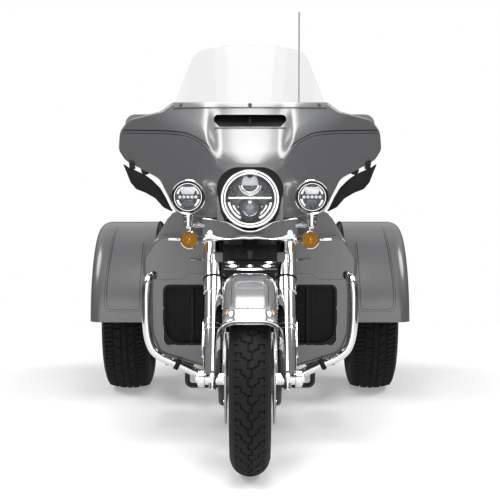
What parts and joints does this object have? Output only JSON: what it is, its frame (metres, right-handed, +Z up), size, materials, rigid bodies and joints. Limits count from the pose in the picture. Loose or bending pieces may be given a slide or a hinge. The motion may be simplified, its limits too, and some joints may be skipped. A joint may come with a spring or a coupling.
{
  "type": "touring trike",
  "caption": "Three-wheeled touring motorcycle with a fork-mounted fairing and windshield, leg shields, wide rear fenders, a trunk and a top case.",
  "frame": {"origin": "floor under the middle of the overall length", "axes": "+Z up, the trike faces -Y, +X is its own left side"},
  "size_m": [1.38, 2.6699, 1.795],
  "materials": {
    "paint": "gloss metallic",
    "chrome": "polished",
    "black_metal": "satin black",
    "dark_plastic": "satin",
    "upholstery": "grained",
    "screen": "clear tinted",
    "lens": "clear",
    "amber_lens": "clear amber",
    "red_lens": "clear red",
    "tyre": "matt",
    "alloy": "machined"
  },
  "bodies": {
    "chassis": {"air_cleaner": "chrome", "antenna": "dark_plastic", "backrest": "upholstery", "crankcase": "black_metal", "cylinders": "black_metal", "engine_covers": "chrome", "engine_guard": "chrome", "exhaust": "chrome", "footboards": "dark_plastic", "frame": "black_metal", "fuel_tank": "paint", "lower_fairing_left": "paint", "lower_fairing_right": "paint", "radiators": "dark_plastic", "rear_axle": "black_metal", "rear_fender_left": "paint", "rear_fender_right": "paint", "rear_valance": "paint", "seat": "upholstery", "side_covers": "paint", "tail_lamps": "red_lens", "top_case_base": "paint", "trunk_body": "paint"},
    "steering": {"fork_legs": "chrome", "fork_covers": "chrome", "triple_clamps": "black_metal", "front_fender": "paint", "brake_calipers": "black_metal", "outer_fairing": "paint", "inner_fairing": "dark_plastic", "windshield": "screen", "headlamp_housing": "dark_plastic", "lamp_bezels": "chrome", "lamp_lenses": "lens", "turn_signals": "amber_lens", "light_bar": "chrome", "fork_skirt": "paint", "handlebar": "chrome", "hand_controls": "dark_plastic", "mirrors": "dark_plastic", "air_deflectors": "dark_plastic"},
    "front_wheel": {"front_tyre": "tyre", "front_rim": "alloy", "brake_rotors": "chrome"},
    "rear_wheel_left": {"rear_tyre_left": "tyre", "rear_rim_left": "alloy"},
    "rear_wheel_right": {"rear_tyre_right": "tyre", "rear_rim_right": "alloy"},
    "trunk_door": {"trunk_door": "paint"},
    "top_case_lid": {"top_case_lid": "paint"}
  },
  "joints": [
    {"name": "steering_turn", "type": "hinge", "parent": "chassis", "child": "steering", "pos_m": [0, -0.73945, 0.77], "axis": [0, 0.4384, 0.8988], "range_deg": [-25, 25]},
    {"name": "front_wheel_spin", "type": "hinge", "parent": "steering", "child": "front_wheel", "pos_m": [0, -1.015, 0.32], "axis": [1, 0, 0], "continuous": true},
    {"name": "rear_wheel_left_spin", "type": "hinge", "parent": "chassis", "child": "rear_wheel_left", "pos_m": [0.553, 0.655, 0.324], "axis": [1, 0, 0], "continuous": true},
    {"name": "rear_wheel_right_spin", "type": "hinge", "parent": "chassis", "child": "rear_wheel_right", "pos_m": [-0.553, 0.655, 0.324], "axis": [1, 0, 0], "continuous": true},
    {"name": "trunk_door_hinge", "type": "hinge", "parent": "chassis", "child": "trunk_door", "pos_m": [0, 1.30518, 0.4885], "axis": [-1, 0, 0], "range_deg": [0, 85]},
    {"name": "top_case_lid_hinge", "type": "hinge", "parent": "chassis", "child": "top_case_lid", "pos_m": [-0.309, 0.93, 1.0605], "axis": [0, -1, 0], "range_deg": [0, 75]}
  ]
}
